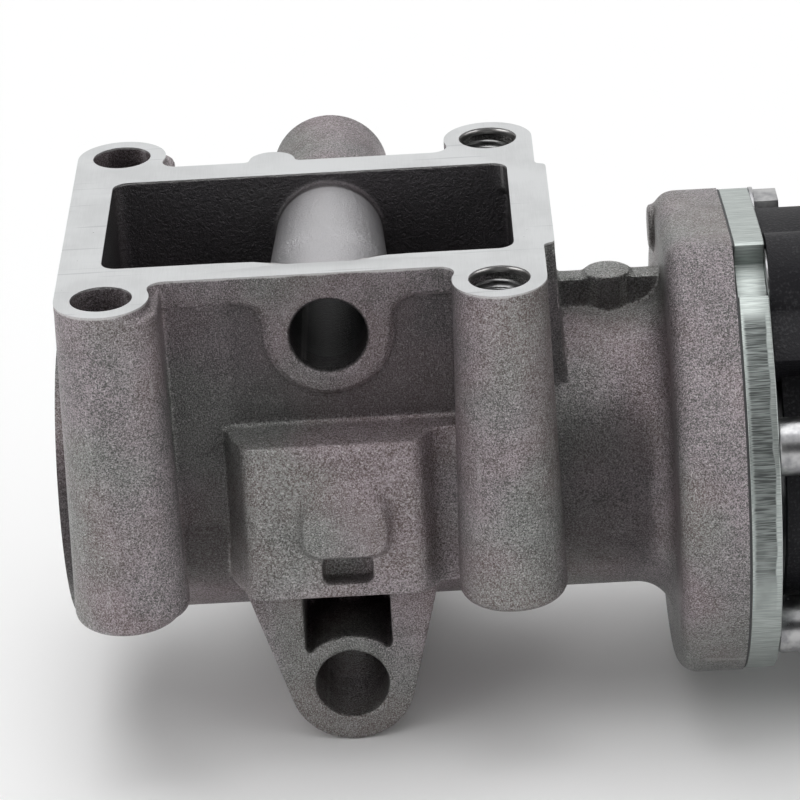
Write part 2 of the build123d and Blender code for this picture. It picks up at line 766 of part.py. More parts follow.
# ---------------------------------------------------------------- housing, cover, sensor
def sector(radius, start, end):
    """Pie slice round the valve axis, between two angles counted from the front."""
    centre = (axis_y, 0)
    rim = CenterArc(centre, radius, 180 - start, start - end)
    return make_face(rim.edges() + Line(centre, rim @ 0).edges() + Line(rim @ 1, centre).edges())


def screw_lugs():
    """Four lugs of the housing that sit on the sleeves."""
    return [section_x(wrapped(disc_at(lug_r, *on_circle(a)),
                              disc_at(lug_r, *on_circle(a, housing_r - lug_r))), lug_x, lug_end_x)
            for a in standoff_angles]


def saddle():
    """Block on top of the housing that hangs over the plate and covers its front top bolt."""
    lobe = disc_at(saddle_lobe_r, *on_circle(plate_bolt_angles[0]))
    return section_x(sector(saddle_r, saddle_from, saddle_to) + lobe, plate_face_x + saddle_gap, lug_end_x)


def grip_ribs():
    """Low ribs along the drum of the housing."""
    ribs = []
    for index in range(housing_rib_count):
        angle = (index + 0.5) * 360 / housing_rib_count
        y, z = on_circle(angle, housing_r)
        ribs.append(Pos(0, y, z) * Rot(-angle, 0, 0) * box_between(
            (lug_end_x + bolt_head_h + rib_clear, housing_end_x - rib_clear),
            (-housing_rib_proud, housing_rib_proud), (-housing_rib_w / 2, housing_rib_w / 2)))
    return ribs


def socket_shell():
    """Outside of the connector socket, with its collar and the latch nose on the far side."""
    base = Pos(socket_x, axis_y, 0)
    shell = base * extrude(RectangleRounded(socket_w, socket_l, socket_corner_r), socket_top_z)
    collar = RectangleRounded(socket_w + 2 * socket_collar, socket_l + 2 * socket_collar,
                              socket_corner_r + socket_collar)
    shell += Pos(socket_x, axis_y, socket_top_z - socket_collar_drop) * extrude(collar, socket_collar_t)
    side_x = socket_x + socket_w / 2
    nose_top = socket_top_z - socket_collar_drop
    nose = Polyline((side_x - socket_wall / 2, nose_top - latch_h), (side_x, nose_top - latch_h),
                    (side_x + latch_proud, nose_top), (side_x - socket_wall / 2, nose_top), close=True)
    return shell + extrude(front_plane(axis_y + latch_w / 2) * make_face(nose), latch_w)


def actuator_housing():
    """Black moulded housing: drum, saddle over the plate, four lugs and the connector socket."""
    body = bar_x(housing_r, housing_x, housing_end_x)
    body += screw_lugs()
    body += saddle()
    body += socket_shell()
    body += grip_ribs()
    body -= bar_x(yoke_r + shell_gap, housing_x - housing_start, yoke_end_x + shell_gap)
    body -= bar_x(tube_r + sensor_gap, yoke_end_x, housing_end_x + 1)
    hollow = RectangleRounded(socket_w - 2 * socket_wall, socket_l - 2 * socket_wall,
                              socket_corner_r - socket_wall / 2)
    body -= Pos(socket_x, axis_y, socket_floor_z) * extrude(hollow, socket_top_z)
    body -= fixing_holes(m5_clearance_r, standoff_angles, lug_x, lug_end_x)
    body -= fixing_holes(bolt_head_r + bolt_pocket_gap, plate_bolt_angles[:2], plate_face_x,
                         plate_face_x + bolt_head_h + bolt_pocket_gap)
    groove_r = cover_r - oring_circle_inset
    body -= ring_x(groove_r + groove_w / 2, groove_r - groove_w / 2,
                   housing_end_x - groove_depth, housing_end_x)
    return body - cover_screw_holes()


def connector_pins():
    """Flat blade terminals that stand in the connector socket."""
    pins = []
    for index in range(pin_count):
        y = axis_y + (index - (pin_count - 1) / 2) * pin_pitch
        blade = box_between((socket_x - pin_w / 2, socket_x + pin_w / 2), (y - pin_t / 2, y + pin_t / 2),
                            (socket_floor_z, socket_floor_z + pin_rise))
        pins.append(chamfer(blade.edges().group_by(Axis.Z)[-1], pin_tip))
    return Compound(children=pins)


def cover_screw_points():
    """Y and Z of the three screws of the cover."""
    return [on_circle(a, housing_r - cover_ear_inset) for a in cover_ear_angles]


def cover_screw_holes():
    """Holes for the cover screws, through its ears and into the end of the housing."""
    return [bar_x(cover_screw_r, housing_end_x - cover_screw_len, housing_end_x + cover_ear_t, y, z)
            for y, z in cover_screw_points()]


def sensor_cover():
    """Rounded cap over the position sensor, held by three screws through its ears."""
    cap = bar_x(cover_r, housing_end_x, cover_end_x)
    cap = fillet(cap.edges().group_by(Axis.X)[-1], cover_edge_r)
    cap += [bar_x(cover_ear_r, housing_end_x, housing_end_x + cover_ear_t, y, z)
            for y, z in cover_screw_points()]
    groove_r = cover_r - oring_circle_inset
    cap -= ring_x(groove_r + groove_w / 2, groove_r - groove_w / 2, housing_end_x,
                  housing_end_x + groove_lid)
    return cap - bar_x(sensor_r + shell_gap, housing_end_x, sensor_end_x + shell_gap) - cover_screw_holes()


def cover_screws():
    """Small pan head screws of the cover."""
    head_x = housing_end_x + cover_ear_t
    screws = []
    for y, z in cover_screw_points():
        head = bar_x(cover_head_r, head_x, head_x + cover_head_h, y, z)
        head = fillet(head.edges().group_by(Axis.X)[-1], cover_head_h / 2)
        screws.append(head + bar_x(cover_screw_r, head_x - cover_ear_t - cover_screw_len, head_x, y, z))
    return Compound(children=screws)


def cover_seal():
    """O-ring in the groove between the housing and the cover."""
    centre_x = housing_end_x - (groove_depth - groove_lid) / 2
    return Pos(centre_x, axis_y, 0) * Rot(0, 90, 0) * Torus(cover_r - oring_circle_inset, oring_r)


def position_sensor():
    """Sensor body with the bore of its follower."""
    body = bar_x(sensor_r, sensor_x, sensor_end_x)
    return body - bar_x(plunger_r + running_gap, sensor_x, sensor_end_x - sensor_floor_t)


parts = {
    "valve_body": valve_body(),
    "seat_ring": seat_ring(),
    "poppet_valve": poppet(),
    "stem_guide": stem_guide(),
    "stem_shield": stem_shield(),
    "return_spring": return_spring(),
    "spring_retainer": spring_retainer(),
    "flange_gasket": flange_gasket(),
    "base_plate": base_plate(),
    "plate_bolts": plate_bolts(),
    "locating_dowel": locating_dowel(),
    "standoff_sleeves": standoff_sleeves(),
    "solenoid_screws": solenoid_screws(),
    "pole_piece": pole_piece(),
    "yoke": yoke(),
    "yoke_lid": yoke_lid(),
    "armature_tube": armature_tube(),
    "armature": armature(),
    "coil_bobbin": coil_bobbin(),
    "coil_winding": coil_winding(),
    "actuator_housing": actuator_housing(),
    "connector_pins": connector_pins(),
    "cover_seal": cover_seal(),
    "sensor_cover": sensor_cover(),
    "cover_screws": cover_screws(),
    "position_sensor": position_sensor(),
    "sensor_plunger": sensor_plunger(),
    "sensor_spring": sensor_spring(),
}
os.makedirs("parts", exist_ok=True)
for name, shape in parts.items():
    export_step(shape, f"parts/{name}.step")
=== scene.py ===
import bpy
import math
from mathutils import Matrix, Vector


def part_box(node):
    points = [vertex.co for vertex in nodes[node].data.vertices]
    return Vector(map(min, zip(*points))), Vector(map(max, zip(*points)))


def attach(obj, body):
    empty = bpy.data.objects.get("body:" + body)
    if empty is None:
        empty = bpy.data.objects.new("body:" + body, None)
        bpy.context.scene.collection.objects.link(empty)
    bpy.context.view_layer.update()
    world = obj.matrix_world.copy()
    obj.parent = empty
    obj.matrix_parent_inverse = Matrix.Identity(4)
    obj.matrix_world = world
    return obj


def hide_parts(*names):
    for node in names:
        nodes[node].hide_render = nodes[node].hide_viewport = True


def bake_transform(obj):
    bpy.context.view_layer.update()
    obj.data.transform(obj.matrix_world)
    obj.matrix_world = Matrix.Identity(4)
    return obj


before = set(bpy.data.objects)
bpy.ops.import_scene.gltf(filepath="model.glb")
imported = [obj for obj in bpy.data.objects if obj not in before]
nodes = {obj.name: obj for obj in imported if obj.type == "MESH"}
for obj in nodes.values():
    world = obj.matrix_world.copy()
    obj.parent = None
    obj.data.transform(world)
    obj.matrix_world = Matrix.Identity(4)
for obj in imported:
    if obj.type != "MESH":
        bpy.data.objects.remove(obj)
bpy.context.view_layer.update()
MM = 0.001

# ---------------------------------------------------------------- studio
# The valve stands on the lower end of its ear, on a plain white table under a wide soft light.
# The long lens looks down a little from the front, square to the flange.
table_size = 6.0
table_white = 0.95
table_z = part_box("valve_body")[0].z
camera_place = Vector((0.01627, -0.54658, 0.24009))
camera_turn = 0.0147          # radians: turn, dip and roll
camera_dip = 0.4305
camera_roll = -0.0598
sensor_width = 36.0           # in mm, as is the focal length
focal_length = 175.94
world_strength = 0.06

bpy.ops.object.select_all(action="DESELECT")
bpy.ops.mesh.primitive_plane_add(size=table_size, location=(0, 0, table_z))
table = bpy.context.object
table.name = "table"
bpy.ops.object.transform_apply(location=True)
paint = bpy.data.materials.new("table_white")
paint.use_nodes = True
for socket, value in (("Base Color", (table_white,) * 3 + (1,)), ("Roughness", 0.9),
                      ("Specular IOR Level", 0.0)):
    paint.node_tree.nodes["Principled BSDF"].inputs[socket].default_value = value
table.data.materials.append(paint)

bpy.ops.object.camera_add(location=camera_place)
camera = bpy.context.object
camera.data.sensor_width = sensor_width
camera.data.lens = focal_length
camera.data.clip_end = 10
camera.matrix_world = (Matrix.Translation(camera_place) @ Matrix.Rotation(camera_turn, 4, "Z")
                       @ Matrix.Rotation(math.pi / 2 - camera_dip, 4, "X")
                       @ Matrix.Rotation(camera_roll, 4, "Z"))
bpy.context.scene.camera = camera


def soft_light(name, towards, power, softness):
    """Distant lamp that shines along a direction; its softness is in degrees."""
    bpy.ops.object.light_add(type="SUN")
    lamp = bpy.context.object
    lamp.name = name
    lamp.data.energy = power
    lamp.data.angle = math.radians(softness)
    lamp.rotation_euler = Vector(towards).to_track_quat("-Z", "Y").to_euler()


soft_light("overhead", (0.02, -0.18, -1.0), 1.66, 56)
soft_light("front_top", (0.10, 0.50, -1.0), 0.62, 50)
soft_light("behind", (0.0, -0.85, -0.45), 0.74, 60)
soft_light("left", (1.0, 0.45, -0.30), 1.16, 56)
soft_light("right", (-1.0, 0.45, -0.30), 0.96, 56)
world = bpy.data.worlds.new("studio")
world.use_nodes = True
world.node_tree.nodes["Background"].inputs["Color"].default_value = (1.0, 1.0, 1.0, 1)
world.node_tree.nodes["Background"].inputs["Strength"].default_value = world_strength
bpy.context.scene.world = world
bpy.context.scene.view_settings.view_transform = "Standard"

# ---------------------------------------------------------------- valve body
# Aluminium high pressure die casting, shot blasted to a fine dark grain. The outlet face, the joint
# face, the inlet rim and the rear mounting faces are milled flat after casting, and the holes drilled.
voxel = 0.36 * MM             # size of the smallest cast rounding
smooth_rounds = 4
body_triangles = 185000
near = 0.02 * MM              # points this close to a plane lie on it
stock = 2.0 * MM              # metal left on the milled faces before they are cut
outlet_z = 37.0 * MM
joint_x = 55.4 * MM
inlet_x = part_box("valve_body")[0].x
mill_low_y, mill_low_z = -100.0 * MM, -60.0 * MM      # clear of the casting
boss_z = 27.8 * MM            # engine bolt boss, along Y, that crosses the window
boss_reach = 9.5 * MM         # round the boss, its fillet included
boss_top_z = 30.0 * MM        # only the part above this is lowered
boss_front_y = (-58.0 * MM, -45.0 * MM)
boss_drop = 0.8 * MM          # keeps the boss's front end below the outlet face
tapped_x = 23.4 * MM
tapped_y = (-67.1 * MM, -14.9 * MM)
tapping_r = 3.4 * MM          # the tapped holes' bore, opened out to the root of their thread
thread_root_r = 4.2 * MM


class Value:
    """A number, colour or vector in a material; arithmetic on it adds Math nodes."""

    def __init__(self, finish, socket):
        self.finish = finish
        self.socket = socket

    def math(self, operation, first, second):
        return self.finish.node("ShaderNodeMath", {"operation": operation}, {0: first, 1: second})

    def __add__(self, other):
        return self.math("ADD", self, other)

    def __radd__(self, other):
        return self.math("ADD", other, self)

    def __sub__(self, other):
        return self.math("SUBTRACT", self, other)

    def __rsub__(self, other):
        return self.math("SUBTRACT", other, self)

    def __mul__(self, other):
        return self.math("MULTIPLY", self, other)

    def __rmul__(self, other):
        return self.math("MULTIPLY", other, self)

    def __truediv__(self, other):
        return self.math("DIVIDE", self, other)

    def __pow__(self, other):
        return self.math("POWER", self, other)


class Finish:
    """A procedural material; node() adds one node and hands back one of its outputs."""

    def __init__(self, name, metallic=0.0, roughness=0.5):
        self.material = bpy.data.materials.new(name)
        self.material.use_nodes = True
        self.tree = self.material.node_tree
        self.shader = self.tree.nodes["Principled BSDF"]
        self.shader.inputs["Metallic"].default_value = metallic
        self.shader.inputs["Roughness"].default_value = roughness
        self.place = self.node("ShaderNodeTexCoord", output="Object")

    def node(self, kind, settings=None, inputs=None, output=0):
        """Adds a node; its inputs are linked to values or set to plain numbers."""
        node = self.tree.nodes.new(kind)
        for key, value in (settings or {}).items():
            setattr(node, key, value)
        for key, value in (inputs or {}).items():
            if isinstance(value, Value):
                self.tree.links.new(value.socket, node.inputs[key])
            else:
                node.inputs[key].default_value = value
        return Value(self, node.outputs[output])

    def feed(self, **sockets):
        """Links values to the shader's own sockets, such as Base_Color."""
        for key, value in sockets.items():
            self.tree.links.new(value.socket, self.shader.inputs[key.replace("_", " ")])

    def split(self, vector):
        """X, Y and Z of a vector, as three numbers."""
        parts = self.node("ShaderNodeSeparateXYZ", None, {"Vector": vector}).socket.node.outputs
        return [Value(self, part) for part in parts]

    def outward(self):
        """The way the surface faces."""
        return self.node("ShaderNodeNewGeometry", output="Normal")

    def noise(self, size, detail=2.0, roughness=0.55, stretch=(1, 1, 1), shift=(0, 0, 0)):
        """Noise whose lumps are about the given size, in metres."""
        spot = self.node("ShaderNodeMapping", None, {
            "Vector": self.place, "Location": shift, "Scale": tuple(s / size for s in stretch)})
        return self.node("ShaderNodeTexNoise", None, {
            "Vector": spot, "Scale": 1.0, "Detail": detail, "Roughness": roughness})

    def step(self, value, low, high):
        """0 below low, 1 above high, and smooth between."""
        return self.node("ShaderNodeMapRange", {"interpolation_type": "SMOOTHSTEP"}, {
            "Value": value, "From Min": low, "From Max": high})

    def band(self, value, start, end):
        """1 between two places and 0 outside; each place is the low and high end of a step."""
        return self.step(value, *start) * (1 - self.step(value, *end))

    def mix(self, factor, first, second):
        """Colour between two others."""
        first, second = (c if isinstance(c, Value) else (*c, 1) for c in (first, second))
        return self.node("ShaderNodeMix", {"data_type": "RGBA"}, {0: factor, 6: first, 7: second}, 2)

    def bump(self, height, depth, strength=1.0):
        """Surface relief, with the depth of its full height in metres."""
        self.feed(Normal=self.node("ShaderNodeBump", None, {
            "Strength": strength, "Distance": depth, "Height": height}))


def cast_aluminium():
    """Shot blasted casting: bright pitted grain and warm and cool patches, with painted shade in the front
    recesses, the window and the bolt bore, and painted light on the bolt boss and the outlet rim.
    """
    # Where the painted shade and light begin and end; each pair is where a change starts and where it is
    # complete.
    wall_y = (-66.5 * MM, -63.0 * MM)               # front walls that lie back between the columns
    pocket_y = (-62.1 * MM, -61.6 * MM)             # and the shallow pockets in them
    wall_z = (-16.0 * MM, -10.0 * MM)
    wall_facing = (0.72, 0.96)                      # how squarely a wall faces the front
    window_x = (-31.8 * MM, -31.2 * MM), (26.4 * MM, 27.0 * MM)
    window_y = (-58.2 * MM, -57.6 * MM), (-24.6 * MM, -24.0 * MM)
    window_z = (19.0 * MM, 20.0 * MM)
    boss_y = (-58.0 * MM, -57.5 * MM), (-27.5 * MM, -26.5 * MM)
    boss_r = (6.5 * MM, 6.7 * MM)
    boss_taper = 0.053                              # the boss narrows to the rear
    boss_bore_r = (5.35 * MM, 5.7 * MM)
    rim_z = (outlet_z - 0.42 * MM, outlet_z - 0.20 * MM)

    finish = Finish("cast_aluminium", metallic=0.9, roughness=0.5)
    x, y, z = finish.split(finish.place)
    forward = 0 - finish.split(finish.outward())[1]
    grain = finish.noise(0.20 * MM, 3, 0.6)
    pebble = finish.noise(0.52 * MM, 2, 0.5)
    mottle = finish.noise(3.5 * MM, 3, 0.6)
    patch = finish.noise(18 * MM, 2, 0.5)
    tint = finish.noise(24 * MM, 2, 0.5, shift=(3.1, 5.2, 1.7))
    dark = finish.mix(finish.step(patch, 0.40, 0.60), (0.100, 0.102, 0.097), (0.136, 0.105, 0.101))
    light = finish.mix(finish.step(tint, 0.40, 0.60), (0.375, 0.380, 0.368), (0.430, 0.378, 0.402))
    tone = finish.mix(finish.step(mottle * 0.20 + grain * 1.10 + pebble * 0.20, 0.58, 0.94), dark, light)
    flake = finish.step(finish.noise(0.25 * MM, 1, 0.5, shift=(7, 1, 4)), 0.58, 0.74)
    tone = finish.mix(flake * 0.50, tone, (0.76, 0.72, 0.73))
    # Painted shade: the front walls that lie back between the columns, and their pockets, are darkened
    # where they face the front.
    recess_shade = finish.step(y, *wall_y) * 0.30 + finish.step(y, *pocket_y) * 0.34
    recess_shade = recess_shade * finish.step(forward, *wall_facing) * finish.step(z, *wall_z)
    tone = finish.mix(recess_shade, tone, (0.036, 0.032, 0.034))
    # Painted shade: the walls inside the window, above z 20 mm, are darkened.
    window_shade = finish.band(x, *window_x) * finish.band(y, *window_y) * finish.step(z, *window_z)
    tone = finish.mix(window_shade * 0.72, tone, (0.085, 0.082, 0.088))
    from_bolt = (x * x + (z - boss_z) ** 2) ** 0.5
    # Painted light: the bolt boss that crosses the window is lightened.
    boss_light = (1 - finish.step(from_bolt + y * boss_taper, *boss_r)) * finish.band(y, *boss_y)
    tone = finish.mix(boss_light * 0.65, tone, (0.66, 0.65, 0.67))
    # Painted shade: the bolt bore is made nearly black.
    tone = finish.mix((1 - finish.step(from_bolt, *boss_bore_r)) * 0.85, tone, (0.020, 0.020, 0.020))
    # Thin bright line just under the outlet face's rim: partly the cut metal of its burr, partly a painted
    # highlight.
    burr_and_highlight_line = finish.step(z + (mottle - 0.5) * 0.5 * MM, *rim_z)
    edge = finish.step(finish.node("ShaderNodeNewGeometry", output="Pointiness"), 0.56, 0.66)
    finish.feed(Base_Color=finish.mix(edge * 0.22 + burr_and_highlight_line * 0.65, tone, (0.72, 0.71, 0.71)),
                Roughness=0.48 - grain * 0.16)
    finish.bump(grain * 0.75 + pebble * 0.6, 0.30 * MM, 0.9)
    return finish.material


def milled_face(name, colour, roughness, lay):
    """Milled aluminium with faint cutter lines along one axis, scratches and a few pores."""
    finish = Finish(name, metallic=1.0, roughness=roughness)
    lines = finish.noise(0.12 * MM, 2, 0.6, stretch=lay)
    cloud = finish.noise(9 * MM, 3, 0.6)
    scratch = finish.noise(1.6 * MM, 2, 0.5, stretch=(0.06, 2.2, 1), shift=(2, 9, 4))
    scratch = finish.step(scratch, 0.66, 0.70)
    pore = finish.step(finish.noise(0.5 * MM, 1, 0.4, shift=(5, 5, 5)), 0.80, 0.84)
    low = tuple(c * 0.88 for c in colour)
    tone = finish.mix(finish.step(cloud + lines * 0.35, 0.45, 0.85), low, colour)
    tone = finish.mix(pore, tone, (0.12, 0.12, 0.12))
    finish.feed(Base_Color=finish.mix(scratch * 0.5, tone, (0.38, 0.39, 0.40)),
                Roughness=roughness - 0.05 + cloud * 0.12)
    finish.bump(lines - scratch * 0.5, 0.012 * MM, 0.6)
    return finish.material


def select_only(piece):
    """Leaves one object selected and active."""
    bpy.ops.object.select_all(action="DESELECT")
    piece.select_set(True)
    bpy.context.view_layer.objects.active = piece


def joined_copy(node, name):
    """Mesh copy of a CAD node with its loose triangles joined at their corners."""
    piece = bpy.data.objects.new(name, nodes[node].data.copy())
    piece.data.materials.clear()
    bpy.context.collection.objects.link(piece)
    select_only(piece)
    bpy.ops.object.mode_set(mode="EDIT")
    bpy.ops.mesh.select_all(action="SELECT")
    bpy.ops.mesh.remove_doubles(threshold=0.001 * MM)
    bpy.ops.object.mode_set(mode="OBJECT")
    return piece


def select_points(piece, where):
    """Enters edit mode with the points selected that pass the test."""
    select_only(piece)
    bpy.ops.object.mode_set(mode="EDIT")
    bpy.ops.mesh.select_mode(type="VERT")
    bpy.ops.mesh.select_all(action="DESELECT")
    bpy.ops.object.mode_set(mode="OBJECT")
    for point in piece.data.vertices:
        point.select = where(point.co)
    bpy.ops.object.mode_set(mode="EDIT")


def move_points(piece, where, shift):
    """Moves the points that pass the test."""
    select_points(piece, where)
    bpy.ops.transform.translate(value=shift)
    bpy.ops.object.mode_set(mode="OBJECT")


def modify(piece, kind, **settings):
    """Adds a modifier, sets it and applies it."""
    select_only(piece)
    modifier = piece.modifiers.new(kind.lower(), kind)
    for key, value in settings.items():
        setattr(modifier, key, value)
    bpy.ops.object.modifier_apply(modifier=modifier.name)


def settle(piece):
    """Moves an object's origin back to the frame's, its points staying where they are."""
    select_only(piece)
    bpy.ops.object.transform_apply(location=True, rotation=True, scale=True)


def shade_smooth(piece, angle):
    """Shades smooth across edges that turn by less than the angle, in degrees."""
    select_only(piece)
    bpy.ops.object.shade_smooth_by_angle(angle=math.radians(angle))


def show_as(piece, node):
    """The piece stands for a CAD node of the casing and rides with it."""
    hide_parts(node)
    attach(piece, "casing")


def on_boss_front(point):
    """Whether a point is on the upper side of the bolt boss's front end."""
    return (boss_front_y[0] < point.y < boss_front_y[1] and point.z > boss_top_z
            and math.hypot(point.x, point.z - boss_z) < boss_reach)


def lies_on(face, axis, place, side=1):
    """Whether a face lies in a machined plane and looks out of the metal there."""
    return face.normal[axis] * side > 0.99 and abs(face.center[axis] - place) < near


body = joined_copy("valve_body", "valve_body_casting")
for hole_y in tapped_y:
    select_points(body, lambda p: math.hypot(p.x - tapped_x, p.y - hole_y) < tapping_r + near and p.z > 0)
    bpy.ops.transform.resize(value=(thread_root_r / tapping_r, thread_root_r / tapping_r, 1),
                             center_override=(tapped_x, hole_y, outlet_z))
    bpy.ops.object.mode_set(mode="OBJECT")
move_points(body, on_boss_front, (0, 0, -boss_drop))
move_points(body, lambda p: p.z > outlet_z - near, (0, 0, stock))
move_points(body, lambda p: p.x > joint_x - near, (stock, 0, 0))
move_points(body, lambda p: p.x < inlet_x + near, (-stock, 0, 0))
move_points(body, lambda p: p.y > -near, (0, stock, 0))
modify(body, "REMESH", mode="VOXEL", voxel_size=voxel)
modify(body, "SMOOTH", factor=0.5, iterations=smooth_rounds)
triangles = sum(len(face.vertices) - 2 for face in body.data.polygons)
modify(body, "DECIMATE", ratio=body_triangles / triangles)

# One block holds everything that the four machined planes leave.
bpy.ops.object.select_all(action="DESELECT")
bpy.ops.mesh.primitive_cube_add(size=1)
mill = bpy.context.object
mill_low = Vector((inlet_x, mill_low_y, mill_low_z))
mill_high = Vector((joint_x, 0, outlet_z))
mill.scale = mill_high - mill_low
mill.location = (mill_high + mill_low) / 2
settle(mill)
modify(body, "BOOLEAN", operation="INTERSECT", solver="EXACT", object=mill)
bpy.data.objects.remove(mill)
shade_smooth(body, 32)
body.data.materials.append(cast_aluminium())
body.data.materials.append(milled_face("milled_outlet_face", (0.62, 0.63, 0.635), 0.36, (1, 0.03, 1)))
body.data.materials.append(milled_face("milled_rims", (0.60, 0.60, 0.60), 0.34, (1, 1, 1)))
for face in body.data.polygons:
    if lies_on(face, 2, outlet_z):
        face.material_index = 1
    elif lies_on(face, 0, joint_x) or lies_on(face, 0, inlet_x, -1) or lies_on(face, 1, 0):
        face.material_index = 2
show_as(body, "valve_body")

# ---------------------------------------------------------------- tapped hole threads
# M8 threads cut in the two right hand holes of the outlet face, with a countersunk mouth. They are part of
# the casting, in cut aluminium whose colour is darkened as painted shade for the depth of the holes.
pitch = 1.25 * MM
thread_depth = 0.62 * MM
thread_wall = 0.22 * MM
thread_turns = 18
mouth_depth = 0.75 * MM
mouth_width = 0.9 * mouth_depth
mouth_rim_r = thread_root_r + 0.15 * MM
mouth_rim_z = outlet_z - 0.02 * MM
thread_foot_z = outlet_z - mouth_width - (thread_turns + 1) * pitch


def one_point(name, place):
    """Piece with a single selected point, left in edit mode to be extruded."""
    bpy.ops.object.select_all(action="DESELECT")
    bpy.ops.mesh.primitive_plane_add(size=MM, location=place)
    piece = bpy.context.object
    piece.name = name
    bpy.ops.object.mode_set(mode="EDIT")
    bpy.ops.mesh.select_mode(type="VERT")
    bpy.ops.mesh.select_all(action="SELECT")
    bpy.ops.mesh.merge(type="CENTER")
    return piece


def wind(piece, radius, profile, **turning):
    """Draws a profile step by step from the piece's one point and winds it round the piece's Z axis."""
    bpy.ops.transform.translate(value=(radius, 0, 0))
    for step in profile:
        bpy.ops.mesh.extrude_region_move(TRANSFORM_OT_translate={"value": step})
    bpy.ops.object.mode_set(mode="OBJECT")
    modify(piece, "SCREW", angle=math.tau, use_merge_vertices=True, merge_threshold=0.002 * MM, **turning)


def close_up(piece, material):
    """Turns the faces of a wound piece outwards and gives it its material."""
    settle(piece)
    select_points(piece, lambda p: True)
    bpy.ops.mesh.normals_make_consistent(inside=False)
    bpy.ops.object.mode_set(mode="OBJECT")
    piece.data.materials.append(material)


def copy_to_second_hole(piece, name):
    """Copy of a finished piece, with its own mesh, in the other tapped hole."""
    select_only(piece)
    bpy.ops.object.duplicate()
    twin = bpy.context.object
    twin.name = name
    bpy.ops.transform.translate(value=(0, tapped_y[1] - tapped_y[0], 0))
    settle(twin)
    return twin


# Painted shade: the threads' cut aluminium is kept dark for the shade deep in the holes.
thread_metal_shaded = Finish("cut_aluminium_shaded", metallic=1.0, roughness=0.3)
thread_metal_shaded.feed(Base_Color=thread_metal_shaded.mix(thread_metal_shaded.noise(0.5 * MM, 2),
                                        (0.16, 0.16, 0.16), (0.40, 0.40, 0.40)))
thread = one_point("thread_1", (tapped_x, tapped_y[0], thread_foot_z))
wind(thread, tapping_r, ((thread_depth, 0, pitch / 2), (-thread_depth, 0, pitch / 2)),
     screw_offset=pitch, iterations=thread_turns, steps=40, render_steps=40)
modify(thread, "SOLIDIFY", thickness=thread_wall, offset=1.0)
close_up(thread, thread_metal_shaded.material)
shade_smooth(thread, 20)

mouth = one_point("thread_mouth_1", (tapped_x, tapped_y[0], mouth_rim_z))
wind(mouth, mouth_rim_r, ((-mouth_width, 0, -mouth_depth), (mouth_width, 0, 0), (0, 0, mouth_depth)),
     steps=56, render_steps=56)
close_up(mouth, milled_face("countersink", (0.62, 0.61, 0.60), 0.3, (1, 1, 1)))

for piece in (thread, mouth, copy_to_second_hole(thread, "thread_2"),
              copy_to_second_hole(mouth, "thread_mouth_2")):
    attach(piece, "casing")

# ---------------------------------------------------------------- seat and valve
# Seat ring of hardened steel, ground on its cone; a sintered bronze guide with a pressed steel soot
# shield over its end; and a turned and ground stainless valve, its spring retainer peened to the stem.
axis_y = -41.0 * MM           # the valve's axis, along X at this depth


def turned_metal(name, colour, roughness, ring=0.25, depth=0.01):
    """Lathe turned metal: fine rings round the valve axis, their size in mm, slightly clouded."""
    finish = Finish(name, metallic=1.0, roughness=roughness)
    x, y, z = finish.split(finish.place)
    radius = ((y - axis_y) ** 2 + z * z) ** 0.5
    rings = finish.node("ShaderNodeTexNoise", {"noise_dimensions": "2D"}, {
        "Vector": finish.node("ShaderNodeCombineXYZ", None, {0: x / (ring * MM), 1: radius / (ring * MM)}),
        "Scale": 1.0, "Detail": 2.0})
    cloud = finish.noise(6 * MM, 3, 0.6)
    low = tuple(c * 0.7 for c in colour)
    finish.feed(Base_Color=finish.mix(finish.step(cloud * 0.7 + rings * 0.3, 0.35, 0.65), low, colour),
                Roughness=roughness - 0.06 + rings * 0.12)
    finish.bump(rings, depth * MM, 0.8)
    return finish.material


def dress(node, material):
    """Gives a CAD node shown as it is its procedural material."""
    nodes[node].data.materials.clear()
    nodes[node].data.materials.append(material)


dress("seat_ring", turned_metal("hard_steel", (0.50, 0.48, 0.45), 0.28))
dress("stem_guide", turned_metal("guide_bronze", (0.62, 0.42, 0.22), 0.42, ring=0.4))
dress("stem_shield", turned_metal("pressed_steel", (0.52, 0.52, 0.53), 0.34, ring=0.8))
dress("poppet_valve", turned_metal("stem_steel", (0.58, 0.57, 0.56), 0.22, ring=0.18, depth=0.006))
dress("spring_retainer", turned_metal("retainer_steel", (0.46, 0.46, 0.48), 0.38, ring=0.6))

# ---------------------------------------------------------------- springs
# Cold coiled spring wire, shot peened, with closed ends. The large one shuts the valve and presses on
# its retainer; the small one keeps the sensor's follower against the stem.
spring_steel = Finish("spring_steel", metallic=1.0, roughness=0.38)
blotch = spring_steel.step(spring_steel.noise(0.6 * MM, 2), 0.35, 0.65)
spring_steel.feed(Base_Color=spring_steel.mix(blotch, (0.25, 0.25, 0.27), (0.44, 0.44, 0.46)))
spring_steel.bump(spring_steel.noise(0.15 * MM, 2), 0.02 * MM, 0.6)
for node, name, ends, start, end in (       # start and end: where the coils begin and end along X, in mm
        ("return_spring", "return_spring_wire", ("casing", "valve"), 37.65, 51.65),
        ("sensor_spring", "sensor_spring_wire", ("follower", "casing"), 114.2, 118.8)):
    wire = joined_copy(node, name)
    shade_smooth(wire, 60)
    wire.data.materials.append(spring_steel.material)
    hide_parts(node)
    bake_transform(wire)

# ---------------------------------------------------------------- gasket and adapter plate
# Graphite gasket pressed on a steel core. The adapter plate is blanked from 4 mm zinc plated steel: its
# sheared edge is drawn in streaks with a torn band behind, and its faces keep a pale satin plating.


